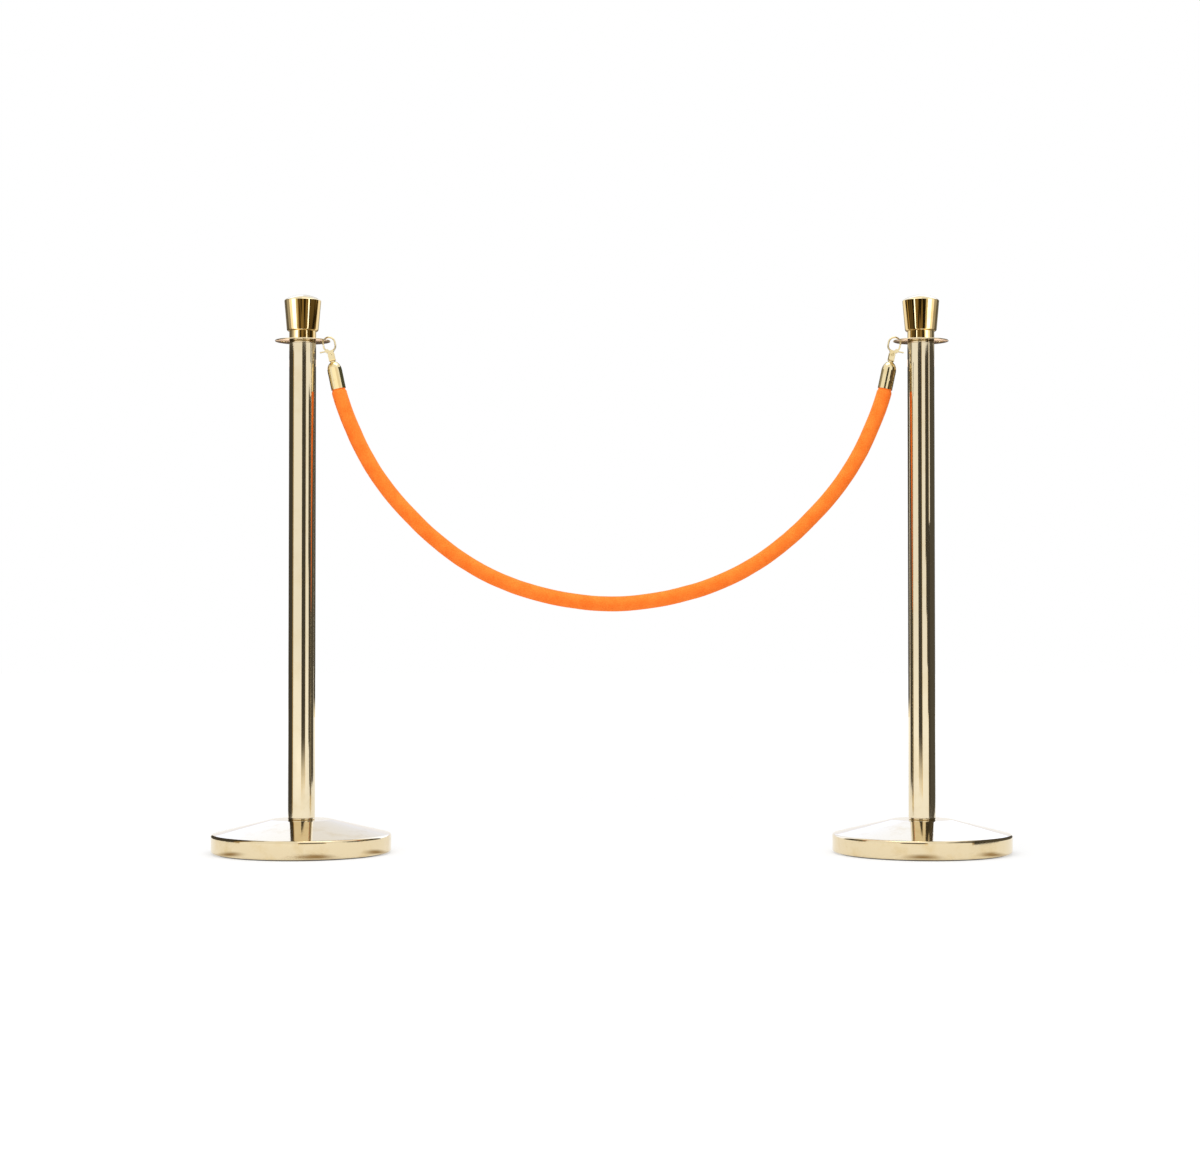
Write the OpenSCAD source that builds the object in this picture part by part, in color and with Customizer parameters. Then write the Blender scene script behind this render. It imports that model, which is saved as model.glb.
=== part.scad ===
/* [Barrier] */
// Distance between the two posts
post_spacing = 1110; // [1000:1:1200]
// Overall height of a post
post_h = 1000; // [960:1:1040]

/* [Base] */
// Diameter of the base
base_d = 320; // [280:1:360]
// Height of the sharp edge between rim wall and cone
base_rim_h = 34; // [26:0.5:40]
// Height of the flat top of the base
base_h = 60; // [54:0.5:72]
// Diameter of the flat top of the base
base_top_d = 107; // [80:1:130]
// Radius of the rounded rim edge
base_edge_r = 5; // [3:0.5:8]
// Radius of the soft bend between cone and flat top
base_bend_r = 20; // [8:1:30]
// Radius of the rounded edge under the rim
base_foot_r = 4; // [3:0.5:6]
// Sheet thickness of the base cover
cover_t = 1.2; // [0.8:0.1:2]
// Width of the lip turned in under the base
cover_lip_w = 8; // [5:0.5:12]
// Height of the cover above the floor
cover_lift = 2; // [1:0.5:4]
// Width of the rubber foot ring
foot_ring_w = 38; // [20:1:60]
// Thickness of the cast web under the cover
web_t = 12; // [8:1:16]

/* [Post] */
// Outside diameter of the tube
tube_d = 48; // [42:0.5:52]
// Wall thickness of the tube
tube_wall = 1.2; // [0.8:0.1:2]
// Height of the threaded plugs in the tube
plug_h = 24; // [18:1:40]
// Height of the beaded rings at the ends of the tube
seat_h = 3.6; // [2:0.2:6]

/* [Collar and crown] */
// Diameter of the collar plate
collar_d = 99; // [94:1:108]
// Thickness of the collar plate
collar_t = 2; // [1.6:0.1:2.4]
// Number of hook holes in the collar
collar_holes = 4; // [2:2:4]
// Diameter of a hook hole
collar_hole_d = 13; // [12:0.5:14]
// Diameter of the circle that the hook holes lie on
collar_hole_circle_d = 67; // [65:0.5:69]
// Height of the crown with its neck
crown_h = 82; // [74:1:96]
// Length of the neck below the crown
neck_h = 16; // [12:0.5:18]
// Diameter of the crown at its underside
crown_bottom_d = 56.8; // [56.8:0.2:60]
// Largest diameter of the crown
crown_top_d = 65.6; // [62:0.2:72]
// Radius of the crown's rounded underside
crown_bottom_r = 4.2; // [2:0.2:4.2]
// Radius of the crown's rounded top edge
crown_edge_r = 2.5; // [1.6:0.1:4]
// Radius of the crown's domed top
crown_dome_r = 58; // [50:1:80]
// Sheet thickness of the crown
crown_wall = 1.4; // [1:0.1:2]

/* [Rope and cap] */
// Diameter of the rope
rope_d = 27; // [26:0.5:28]
// Thickness of the plush sleeve
sleeve_t = 1.6; // [1:0.1:3]
// Outside diameter of the end cap
cap_d = 26.4; // [26:0.2:30]
// Length of the end cap
cap_len = 49.6; // [46:0.2:51]
// Height of the cap's domed end
cap_dome_h = 16.8; // [12:0.2:22]
// Wall thickness of the cap
cap_wall = 1; // [0.6:0.1:1.2]

/* [Hook] */
// Tilt of the hook and the cap from the vertical
hook_tilt = 12; // [10:0.5:14]
// Diameter of the claw's round bow
bow_d = 3.2; // [2.8:0.1:3.4]
// Inside width of the claw
claw_gap = 18; // [17:0.5:20]
// Length of the straight sides of the claw
claw_side = 5; // [4:0.5:8]
// Length of the claw's nose below its round top
nose_len = 1.5; // [0.5:0.1:2.5]
// Thickness of the claw's shank
shank_t = 6; // [5.6:0.1:7]
// Length of the thumb lever from the gate's pin
lever_len = 12.4; // [9:0.2:14]
// Width of the yoke's front cheek
yoke_w = 12; // [10:0.5:14]
// Width of the yoke's back cheek
yoke_back_w = 9.6; // [8:0.2:10]
// Thickness of the yoke's strip
yoke_t = 1.4; // [1:0.1:2]

/* [Hidden] */
$fn = 96;
arc_steps = 10;

// Clearances
drive_fit = 0.1;
running_fit = 0.06;
end_play = 0.15;
hook_gap = 0.5;
gate_gap = 0.45;
rope_fit = 0.4;
cut = 1;

// Base
base_r = base_d / 2;
cone_angle = atan((base_h - base_rim_h) / (base_r - base_top_d / 2));
edge_x = base_r - base_edge_r;
edge_z = base_rim_h + base_edge_r * tan(cone_angle) - base_edge_r / cos(cone_angle);
bend_rise = base_h - base_rim_h + base_bend_r * (1 / cos(cone_angle) - 1);
bend_x = base_r - bend_rise / tan(cone_angle);
lip_r = base_r - cover_lip_w;
lip_z = cover_lift + cover_t;
weight_z = lip_z + drive_fit;
foot_edge_x = base_r - base_foot_r;
foot_edge_z = cover_lift + base_foot_r;
foot_gap = 2;
bolt_r = 6;
bolt_hole_r = 6.6;
bolt_head_w = 19;
bolt_head_h = 7.5;
washer_r = 15;
washer_t = 2.5;
thread_len = 19;
boss_r = 24;
boss_h = 36;
boss_z = base_h - boss_h;
foot_r = lip_r - foot_gap;
hollow_r = foot_r - foot_ring_w;
hollow_z = base_rim_h + (base_r - hollow_r) * tan(cone_angle) - web_t;

// Post, collar and crown
tube_r = tube_d / 2;
bore_r = tube_r - tube_wall;
tube_z = base_h + seat_h;
collar_top = post_h - crown_h;
collar_z = collar_top - collar_t;
tube_top = collar_z - seat_h;
collar_r = collar_d / 2;
stud_r = 5;
insert_h = 11;
crown_r = crown_bottom_d / 2;
underside_z = collar_top + neck_h;
dome_z = post_h - crown_dome_r;
top_edge_x = crown_top_d / 2 - crown_edge_r;
top_edge_z = dome_z + sqrt(pow(crown_dome_r - crown_edge_r, 2) - pow(top_edge_x, 2));
dome_angle = atan2(top_edge_z - dome_z, top_edge_x);
flare_angle = atan((crown_top_d - crown_bottom_d) / 2 / (top_edge_z - underside_z - crown_bottom_r));

// Hook
bow_r = bow_d / 2;
claw_r = claw_gap / 2 + bow_r;
hook_drop = 4.8;
hole_edge = (collar_hole_circle_d + collar_hole_d) / 2;
hook_reach = hole_edge + sqrt(pow(claw_gap / 2, 2) - pow(hook_drop, 2)) - hook_gap;
hook_x = post_spacing / 2 - hook_reach;
hook_z = collar_top - hook_drop;
pivot_angle = 36;
pivot_x = -claw_r * sin(pivot_angle);
pivot_z = -claw_side - claw_r * cos(pivot_angle);
pin_r = 1;
gate_reach = norm([claw_gap / 2 + pivot_x, nose_len + pivot_z]) - gate_gap;
hub_r = 3.2;
ear_r = 3.6;
slot_r = 3.7;
gate_t = 3;
slot_t = gate_t + 2 * drive_fit;
gate_w = 3;
lever_t = 2.2;
leaf_t = 0.25;
leaf_w = 2.4;
leaf_tail = 3.4;
leaf_from = -90;
leaf_to = 10;
seat_w = 4;
seat_to = 300;
shank_w = 10;
rivet_r = 1.5;
rivet_head_r = 2.1;
rivet_head_h = 0.8;
rivet_roll_x = 2;
rivet_roll_r = 0.9;
rivet_drop = 5.4;
rivet_z = -(claw_side + claw_r + rivet_drop);
yoke_gap = shank_t + 2 * drive_fit;
yoke_depth = yoke_gap + 2 * yoke_t;
yoke_len = 12;
yoke_bottom = rivet_z - yoke_len;
yoke_bend_r = 2.6;
yoke_bend_y = yoke_depth / 2 - yoke_bend_r;

// Swivel stem, cap and rope
stem_neck_r = 2;
stem_head_r = 2.8;
stem_head_h = 1.8;
stem_shoulder_r = 4.5;
stem_shoulder_h = 1.65;
stem_shank_r = 2.5;
stem_shank_len = 26;
cap_top = yoke_bottom - end_play - stem_shoulder_h;
cap_mouth = cap_top - cap_len;
cap_r = cap_d / 2;
cap_shoulder = cap_top - cap_dome_h;
rope_in_cap = 5;
screw_up = 16.6;
screw_z = cap_mouth + screw_up;
screw_turn = 15;
screw_r = 1.25;
screw_len = 8;
screw_head_r = 1.9;
screw_head_h = 0.9;
rope_r = rope_d / 2;
core_r = rope_r - sleeve_t - drive_fit;
rope_end_r = cap_r - cap_wall - rope_fit;
rope_sides = 12;

// Centre line of the rope from cap to cap, the first two and last two points inside or at a cap
rope_route = [
    [-491.5, 0, 835], [-490, 0, 829], [-489, 0, 824.5], [-482, 0, 802], [-466, 0, 761],
    [-441, 0, 709], [-406, 0, 655], [-362, 0, 604], [-311, 0, 556], [-254, 0, 515],
    [-193, 0, 484], [-130, 0, 463], [-65, 0, 450], [0, 0, 445], [65, 0, 450],
    [130, 0, 463], [193, 0, 484], [254, 0, 515], [311, 0, 556], [362, 0, 604],
    [406, 0, 655], [441, 0, 709], [466, 0, 761], [482, 0, 802], [489, 0, 824.5],
    [490, 0, 829], [491.5, 0, 835]
];
route_last = len(rope_route) - 1;

pale_gold = "#e6d6ac";
yellow_gold = "#d8b65a";
steel = "#9a9a98";
iron = "#4a4a4a";
rubber = "#232323";
orange = "#ff8a2e";
orange_core = "#f0e6d8";
wood = "#b99563";

function arc(x, z, r, from, to) =
    [for (i = [0:arc_steps]) let (a = from + (to - from) * i / arc_steps) [x + r * cos(a), z + r * sin(a)]];

function reversed(points) = [for (i = [len(points) - 1:-1:0]) points[i]];

// Half outline of the base from under the rim to the flat top, set in by a distance
function base_line(inset) = concat(
    arc(foot_edge_x, foot_edge_z, base_foot_r - inset, -90, 0),
    arc(edge_x, edge_z, base_edge_r - inset, 0, 90 - cone_angle),
    arc(bend_x, base_h - base_bend_r, base_bend_r - inset, 90 - cone_angle, 90));

// Half outline of the crown from the neck's foot to the top of the dome, set in by a distance
function crown_line(inset) = concat(
    [[tube_r - inset, collar_top], [tube_r - inset, underside_z + inset]],
    arc(crown_r - crown_bottom_r, underside_z + crown_bottom_r, crown_bottom_r - inset, -90, -flare_angle),
    arc(top_edge_x, top_edge_z, crown_edge_r - inset, -flare_angle, dome_angle),
    arc(0, dome_z, crown_dome_r - inset, dome_angle, 90));

// Half outline of the end cap from the mouth to the flat under the stem, set in by a distance
function cap_line(inset, mouth) = concat(
    [[cap_r - inset, mouth]],
    [for (i = [0:arc_steps])
        let (last = acos(stem_shoulder_r / cap_r), a = last * i / arc_steps)
        [(cap_r - inset) * cos(a), cap_shoulder + (cap_dome_h - inset) * sin(a) / sin(last)]]);

module ring(outer_r, inner_r, z, h) {
    translate([0, 0, z]) difference() {
        cylinder(r = outer_r, h = h);
        translate([0, 0, -cut]) cylinder(r = inner_r, h = h + 2 * cut);
    }
}

module left_post() { translate([-post_spacing / 2, 0, 0]) children(); }
module right_post() { mirror([1, 0, 0]) left_post() children(); }

module left_hook() { translate([-hook_x, 0, hook_z]) rotate([0, -hook_tilt, 0]) children(); }
module right_hook() { mirror([1, 0, 0]) left_hook() children(); }

// The right hook hangs with its back to the front
module back_to_front() { rotate([0, 0, 180]) children(); }

module base_cover() {
    rotate_extrude() polygon(concat(
        [[lip_r, cover_lift]], base_line(0), [[bolt_hole_r, base_h]],
        [[bolt_hole_r, base_h - cover_t]], reversed(base_line(cover_t)), [[lip_r, lip_z]]));
}

module base_weight() {
    inset = cover_t + drive_fit;
    rotate_extrude() polygon(concat(
        [[hollow_r, weight_z]], base_line(inset),
        [[bolt_hole_r, base_h - inset], [bolt_hole_r, boss_z], [boss_r, boss_z]],
        [[boss_r, base_h - inset - web_t], [hollow_r, hollow_z - inset]]));
}

module foot_ring() { ring(foot_r, hollow_r, 0, weight_z); }

module base_bolt() {
    head_z = boss_z - washer_t - bolt_head_h;
    translate([0, 0, head_z]) cylinder(d = bolt_head_w / cos(30), h = bolt_head_h, $fn = 6);
    translate([0, 0, head_z]) cylinder(r = bolt_r, h = tube_z + thread_len - head_z);
}

module base_washer() { ring(washer_r, bolt_hole_r, boss_z - washer_t, washer_t); }

// A ring whose outer edge is a half round
module beaded_ring(outer_r, inner_r, z, h) {
    edge_r = h / 2;
    rotate_extrude() polygon(concat(
        [[inner_r, z]], arc(outer_r - edge_r, z + edge_r, edge_r, -90, 90), [[inner_r, z + h]]));
}

module tube_seat() { beaded_ring(tube_r, bolt_hole_r, base_h, seat_h); }

module bottom_plug() { ring(bore_r, bolt_r, tube_z, plug_h); }

module post_tube() { ring(tube_r, bore_r, tube_z, tube_top - tube_z); }

module top_plug() { ring(bore_r, stud_r, tube_top - plug_h, plug_h); }

module collar_seat() { beaded_ring(tube_r, stud_r + drive_fit, tube_top, seat_h); }

module collar() {
    difference() {
        beaded_ring(collar_r, stud_r + drive_fit, collar_z, collar_t);
        for (i = [0:collar_holes - 1])
            rotate([0, 0, 360 * i / collar_holes]) translate([collar_hole_circle_d / 2, 0, collar_z - cut])
                cylinder(d = collar_hole_d, h = collar_t + 2 * cut);
    }
}

module crown_insert() { ring(tube_r - crown_wall, stud_r, collar_top, insert_h); }

module crown_stud() {
    foot = tube_top - thread_len;
    translate([0, 0, foot]) cylinder(r = stud_r, h = collar_top + insert_h - foot);
}

module crown() { rotate_extrude() polygon(concat(crown_line(0), reversed(crown_line(crown_wall)))); }

// The rope is a tube swept along its centre line, drawn in where it enters the caps
function direction(i) =
    let (step = rope_route[min(i + 1, route_last)] - rope_route[max(i - 1, 0)]) step / norm(step);
function swell(i) = i < 2 || i > route_last - 2 ? rope_end_r : rope_r;
function hoop(i, inset) =
    let (across = [0, 1, 0], up = cross(direction(i), across))
    [for (j = [0:rope_sides - 1]) let (a = 360 * j / rope_sides)
        rope_route[i] + (swell(i) - inset) * (across * cos(a) + up * sin(a))];
function hoops(inset) = [for (i = [0:route_last]) each hoop(i, inset)];
function skin(first) =
    [for (i = [0:route_last - 1], j = [0:rope_sides - 1])
        let (a = first + i * rope_sides + j, b = first + i * rope_sides + (j + 1) % rope_sides)
        each [[a, b, b + rope_sides], [a, b + rope_sides, a + rope_sides]]];
function turned(faces) = [for (f = faces) [f[0], f[2], f[1]]];
function disc(first) = [for (j = [1:rope_sides - 2]) [first, first + j + 1, first + j]];
function band(outer, inner) =
    [for (j = [0:rope_sides - 1]) let (k = (j + 1) % rope_sides)
        each [[outer + j, inner + j, inner + k], [outer + j, inner + k, outer + k]]];

module rope_core() {
    end = route_last * rope_sides;
    color(orange_core)
        polyhedron(hoops(rope_r - core_r), concat(skin(0), disc(0), turned(disc(end))));
}

module rope_sleeve() {
    inner = (route_last + 1) * rope_sides;
    end = route_last * rope_sides;
    color(orange) polyhedron(
        concat(hoops(0), hoops(sleeve_t)),
        concat(skin(0), turned(skin(inner)), band(0, inner), turned(band(end, inner + end))));
}

module end_cap() {
    difference() {
        rotate_extrude() polygon(concat(
            cap_line(0, cap_mouth), [[stem_shank_r, cap_top], [stem_shank_r, cap_top - cap_wall]],
            reversed(cap_line(cap_wall, cap_mouth))));
        cap_screw_place() cylinder(r = screw_r, h = screw_len + cut);
    }
}

module cap_screw_place() {
    translate([0, 0, screw_z]) rotate([90, 0, -screw_turn]) translate([0, 0, cap_r - screw_len]) children();
}

module cap_plug() {
    inset = cap_wall + drive_fit;
    difference() {
        rotate_extrude() polygon(concat(
            [[0, cap_mouth + rope_in_cap]], cap_line(inset, cap_mouth + rope_in_cap),
            [[0, cap_top - inset]]));
        translate([0, 0, cap_top - stem_shank_len]) cylinder(r = stem_shank_r, h = stem_shank_len);
        cap_screw_place() cylinder(r = screw_r, h = screw_len);
    }
}

module cap_screw() {
    cap_screw_place() {
        cylinder(r = screw_r, h = screw_len);
        translate([0, 0, screw_len]) domed_head(screw_head_r, screw_head_h);
    }
}

module domed_head(r, h) {
    rotate_extrude() polygon(concat(
        [[0, 0]], [for (i = [0:arc_steps]) let (a = 90 * i / arc_steps) [r * cos(a), h * sin(a)]]));
}

module swivel_stem() {
    floor_z = yoke_bottom + yoke_t + end_play;
    translate([0, 0, floor_z]) cylinder(r = stem_head_r, h = stem_head_h);
    translate([0, 0, cap_top]) cylinder(r = stem_neck_r, h = floor_z - cap_top);
    translate([0, 0, cap_top]) cylinder(r = stem_shoulder_r, h = stem_shoulder_h);
    translate([0, 0, cap_top - stem_shank_len]) cylinder(r = stem_shank_r, h = stem_shank_len);
}

// A flat outline in the plane of the claw, made as thick as asked
module flat(t) { rotate([90, 0, 0]) linear_extrude(t, center = true) children(); }

// A hole across the hook, through everything
module cross_hole(x, z, r) {
    translate([x, 0, z]) rotate([90, 0, 0]) cylinder(r = r, h = 2 * yoke_depth, center = true);
}

module bow(from, sweep) {
    rotate([90, 0, 0]) rotate([0, 0, from]) rotate_extrude(angle = sweep)
        translate([claw_r, 0]) circle(bow_r);
}

// The bent strip of the yoke as it looks from the side, with two round bends below
module yoke_strip() {
    difference() {
        union() {
            for (side = [-1, 1])
                translate([side * yoke_bend_y, yoke_bottom + yoke_bend_r]) circle(yoke_bend_r);
            translate([-yoke_bend_y, yoke_bottom]) square([2 * yoke_bend_y, yoke_bend_r]);
            translate([-yoke_depth / 2, yoke_bottom + yoke_bend_r]) square([yoke_depth, yoke_len + yoke_w]);
        }
        translate([-yoke_gap / 2, yoke_bottom + yoke_t]) square([yoke_gap, yoke_len + 2 * yoke_w]);
    }
}

// One cheek of the yoke, front or back
module cheek(side, w) {
    translate([0, side * yoke_depth / 4, 0]) flat(yoke_depth / 2) {
        translate([0, rivet_z]) circle(w / 2);
        translate([-w / 2, yoke_bottom]) square([w, yoke_len]);
    }
}

module yoke() {
    difference() {
        intersection() {
            union() {
                cheek(-1, yoke_w);
                cheek(1, yoke_back_w);
            }
            rotate([90, 0, 90]) linear_extrude(yoke_w, center = true) yoke_strip();
        }
        cross_hole(0, rivet_z, rivet_r);
        translate([0, 0, yoke_bottom - cut]) cylinder(r = stem_neck_r + running_fit, h = yoke_t + 2 * cut);
    }
}

module sector(from, to) {
    reach = 4 * claw_r;
    polygon([[0, 0], reach * [cos(from), sin(from)], reach * [cos((from + to) / 2), sin((from + to) / 2)],
        reach * [cos(to), sin(to)]]);
}

module lower_bow(w, from, to) {
    translate([0, -claw_side]) intersection() {
        difference() {
            circle(claw_r + w / 2);
            circle(claw_r - w / 2);
        }
        sector(from, to);
    }
}

module leaf_outline(grow) {
    translate([pivot_x, pivot_z]) {
        intersection() {
            difference() {
                circle(hub_r + drive_fit + leaf_t + grow);
                circle(hub_r + drive_fit - grow);
            }
            sector(leaf_from, leaf_to);
        }
        rotate(-pivot_angle) translate([hub_r + drive_fit, -leaf_t / 2 - grow])
            square([leaf_tail + grow, leaf_t + 2 * grow]);
    }
}

module claw() {
    difference() {
        union() {
            bow(0, 180);
            translate([claw_r, 0, -claw_side]) cylinder(r = bow_r, h = claw_side);
            translate([0, 0, -claw_side]) bow(-90, 90);
            translate([-claw_r, 0, -nose_len]) cylinder(r = bow_r, h = nose_len);
            flat(shank_t) {
                lower_bow(seat_w, 270 - pivot_angle, seat_to);
                translate([pivot_x, pivot_z]) circle(ear_r);
                translate([0, rivet_z]) circle(shank_w / 2);
                translate([-shank_w / 2, rivet_z]) square([shank_w, -claw_side - claw_r - rivet_z]);
            }
        }
        flat(slot_t) {
            translate([pivot_x, pivot_z]) circle(slot_r);
            leaf_outline(drive_fit / 2);
        }
        cross_hole(pivot_x, pivot_z, pin_r);
        cross_hole(0, rivet_z, rivet_r);
    }
}

module yoke_rivet() {
    translate([0, 0, rivet_z]) rotate([90, 0, 0]) {
        cylinder(r = rivet_r, h = yoke_depth, center = true);
        translate([0, 0, yoke_depth / 2]) domed_head(rivet_head_r, rivet_head_h);
        rotate([180, 0, 0]) translate([0, 0, yoke_depth / 2]) rolled_end();
    }
}

// The rolled over end of the rivet, a half round ring
module rolled_end() {
    rotate_extrude() polygon(arc(rivet_roll_x, 0, rivet_roll_r, 0, 180));
}

module gate() {
    difference() {
        flat(gate_t) {
            translate([pivot_x, pivot_z]) circle(hub_r);
            lower_bow(gate_w, 180, 270 - pivot_angle);
            intersection() {
                translate([-claw_r - gate_w / 2, -claw_side]) square([gate_w, claw_side]);
                translate([pivot_x, pivot_z]) circle(gate_reach);
            }
            translate([pivot_x - lever_len, pivot_z - lever_t / 2]) square([lever_len, lever_t]);
            translate([pivot_x - lever_len, pivot_z]) circle(lever_t / 2);
        }
        cross_hole(pivot_x, pivot_z, pin_r + running_fit);
    }
}

module gate_pin() {
    translate([pivot_x, 0, pivot_z]) rotate([90, 0, 0]) cylinder(r = pin_r, h = shank_t, center = true);
}

module gate_spring() { flat(leaf_w) leaf_outline(0); }

module left_base_cover() { color(pale_gold) left_post() base_cover(); }
module left_base_weight() { color(iron) left_post() base_weight(); }
module left_foot_ring() { color(rubber) left_post() foot_ring(); }
module left_base_bolt() { color(steel) left_post() base_bolt(); }
module left_base_washer() { color(steel) left_post() base_washer(); }
module left_tube_seat() { color(pale_gold) left_post() tube_seat(); }
module left_bottom_plug() { color(steel) left_post() bottom_plug(); }
module left_post_tube() { color(pale_gold) left_post() post_tube(); }
module left_top_plug() { color(steel) left_post() top_plug(); }
module left_collar_seat() { color(pale_gold) left_post() collar_seat(); }
module left_collar() { color(pale_gold) left_post() collar(); }
module left_crown_insert() { color(steel) left_post() crown_insert(); }
module left_crown_stud() { color(steel) left_post() crown_stud(); }
module left_crown() { color(yellow_gold) left_post() crown(); }

module right_base_cover() { color(pale_gold) right_post() base_cover(); }
module right_base_weight() { color(iron) right_post() base_weight(); }
module right_foot_ring() { color(rubber) right_post() foot_ring(); }
module right_base_bolt() { color(steel) right_post() base_bolt(); }
module right_base_washer() { color(steel) right_post() base_washer(); }
module right_tube_seat() { color(pale_gold) right_post() tube_seat(); }
module right_bottom_plug() { color(steel) right_post() bottom_plug(); }
module right_post_tube() { color(pale_gold) right_post() post_tube(); }
module right_top_plug() { color(steel) right_post() top_plug(); }
module right_collar_seat() { color(pale_gold) right_post() collar_seat(); }
module right_collar() { color(pale_gold) right_post() collar(); }
module right_crown_insert() { color(steel) right_post() crown_insert(); }
module right_crown_stud() { color(steel) right_post() crown_stud(); }
module right_crown() { color(yellow_gold) right_post() crown(); }

module left_end_cap() { color(yellow_gold) left_hook() end_cap(); }
module left_cap_plug() { color(wood) left_hook() cap_plug(); }
module left_cap_screw() { color(yellow_gold) left_hook() cap_screw(); }
module left_swivel_stem() { color(yellow_gold) left_hook() swivel_stem(); }
module left_yoke() { color(yellow_gold) left_hook() yoke(); }
module left_claw() { color(yellow_gold) left_hook() claw(); }
module left_yoke_rivet() { color(yellow_gold) left_hook() yoke_rivet(); }
module left_gate() { color(yellow_gold) left_hook() gate(); }
module left_gate_pin() { color(steel) left_hook() gate_pin(); }
module left_gate_spring() { color(steel) left_hook() gate_spring(); }

module right_end_cap() { color(yellow_gold) right_hook() end_cap(); }
module right_cap_plug() { color(wood) right_hook() cap_plug(); }
module right_cap_screw() { color(yellow_gold) right_hook() cap_screw(); }
module right_swivel_stem() { color(yellow_gold) right_hook() swivel_stem(); }
module right_yoke() { color(yellow_gold) right_hook() back_to_front() yoke(); }
module right_claw() { color(yellow_gold) right_hook() claw(); }
module right_yoke_rivet() { color(yellow_gold) right_hook() back_to_front() yoke_rivet(); }
module right_gate() { color(yellow_gold) right_hook() gate(); }
module right_gate_pin() { color(steel) right_hook() gate_pin(); }
module right_gate_spring() { color(steel) right_hook() gate_spring(); }

left_base_cover();
left_base_weight();
left_foot_ring();
left_base_bolt();
left_base_washer();
left_tube_seat();
left_bottom_plug();
left_post_tube();
left_top_plug();
left_collar_seat();
left_collar();
left_crown_insert();
left_crown_stud();
left_crown();
right_base_cover();
right_base_weight();
right_foot_ring();
right_base_bolt();
right_base_washer();
right_tube_seat();
right_bottom_plug();
right_post_tube();
right_top_plug();
right_collar_seat();
right_collar();
right_crown_insert();
right_crown_stud();
right_crown();
rope_core();
rope_sleeve();
left_end_cap();
left_cap_plug();
left_cap_screw();
left_swivel_stem();
left_yoke();
left_claw();
left_yoke_rivet();
left_gate();
left_gate_pin();
left_gate_spring();
right_end_cap();
right_cap_plug();
right_cap_screw();
right_swivel_stem();
right_yoke();
right_claw();
right_yoke_rivet();
right_gate();
right_gate_pin();
right_gate_spring();
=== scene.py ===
# %% [markdown]
# # A rope barrier: two plated posts and a plush rope
# The metalwork was drawn as exact solids first and packed as a frame of named nodes. This lesson dresses
# that frame: it keeps the nodes whose shape is right, rebuilds the ones that need finer curves, and gives
# every surface a finish. Everything is in metres, with the floor at height zero, the barrier along X and
# the viewer on the side of negative Y.

# %% Load the frame
import math

import bmesh
import bpy
from mathutils import Matrix, Vector, noise


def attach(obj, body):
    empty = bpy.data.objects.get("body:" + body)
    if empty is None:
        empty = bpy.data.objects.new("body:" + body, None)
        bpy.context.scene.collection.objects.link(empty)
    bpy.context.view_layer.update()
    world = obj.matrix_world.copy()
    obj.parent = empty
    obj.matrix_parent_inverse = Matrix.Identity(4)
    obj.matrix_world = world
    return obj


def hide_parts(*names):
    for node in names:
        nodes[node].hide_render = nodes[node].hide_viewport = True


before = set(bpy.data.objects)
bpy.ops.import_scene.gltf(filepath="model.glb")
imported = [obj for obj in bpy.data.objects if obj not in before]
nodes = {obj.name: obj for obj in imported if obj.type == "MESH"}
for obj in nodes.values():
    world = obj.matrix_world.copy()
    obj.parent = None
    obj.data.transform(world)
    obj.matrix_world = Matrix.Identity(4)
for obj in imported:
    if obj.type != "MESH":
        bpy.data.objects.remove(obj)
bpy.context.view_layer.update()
scene = bpy.context.scene
scene.view_settings.view_transform = "Standard"
MM = 0.001
SIDES = {"left": -1, "right": 1}
POST_X = 555 * MM
print("nodes in the frame:", len(nodes))

# %% [markdown]
# ## Camera
# The posts stand almost square to the viewer, and the near and far edges of the bases show that the camera
# was low and a little over four metres away. A long lens keeps the posts upright. The barrier sits slightly
# right of the middle of the picture, so the lens is shifted by a hundredth of its width and not turned.

# %% Camera
CAMERA_PLACE = (0, -4.2537, 0.4095)
TILT_UP = 1.14
LENS = 71.217
SHIFT = -0.0098
camera_data = bpy.data.cameras.new("front_camera")
camera_data.sensor_fit = "HORIZONTAL"
camera_data.sensor_width = 36
camera_data.lens = LENS
camera_data.shift_x = SHIFT
camera = bpy.data.objects.new("front_camera", camera_data)
camera.location = CAMERA_PLACE
camera.rotation_euler = (math.radians(90 + TILT_UP), 0, 0)
scene.collection.objects.link(camera)
scene.camera = camera
print("camera", round(camera_data.lens, 1), "mm")

# %% [markdown]
# ## The line of the rope
# A barrier rope is a thick soft cord held only by its two caps, so it hangs in one deep curve and leaves each
# cap in the direction the cap points. The points below are its centre line, the same as in the solids. A
# curve object draws a smooth line through them and gives it a round section; the first and last two points
# lie in the caps, where the rope is squeezed a little thinner.

# %% Rope line
ROPE_R = 13.5 * MM
ROPE_IN_CAP_R = 11.8 * MM
HALF_ROUTE = [
    (491.5, 835), (490, 829), (489, 824.5), (482, 802), (466, 761), (441, 709), (406, 655),
    (362, 604), (311, 556), (254, 515), (193, 484), (130, 463), (65, 450),
]
left_half = [Vector((-x * MM, 0, z * MM)) for x, z in HALF_ROUTE]
right_half = [Vector((x * MM, 0, z * MM)) for x, z in reversed(HALF_ROUTE)]
route = left_half + [Vector((0, 0, 445 * MM))] + right_half

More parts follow.
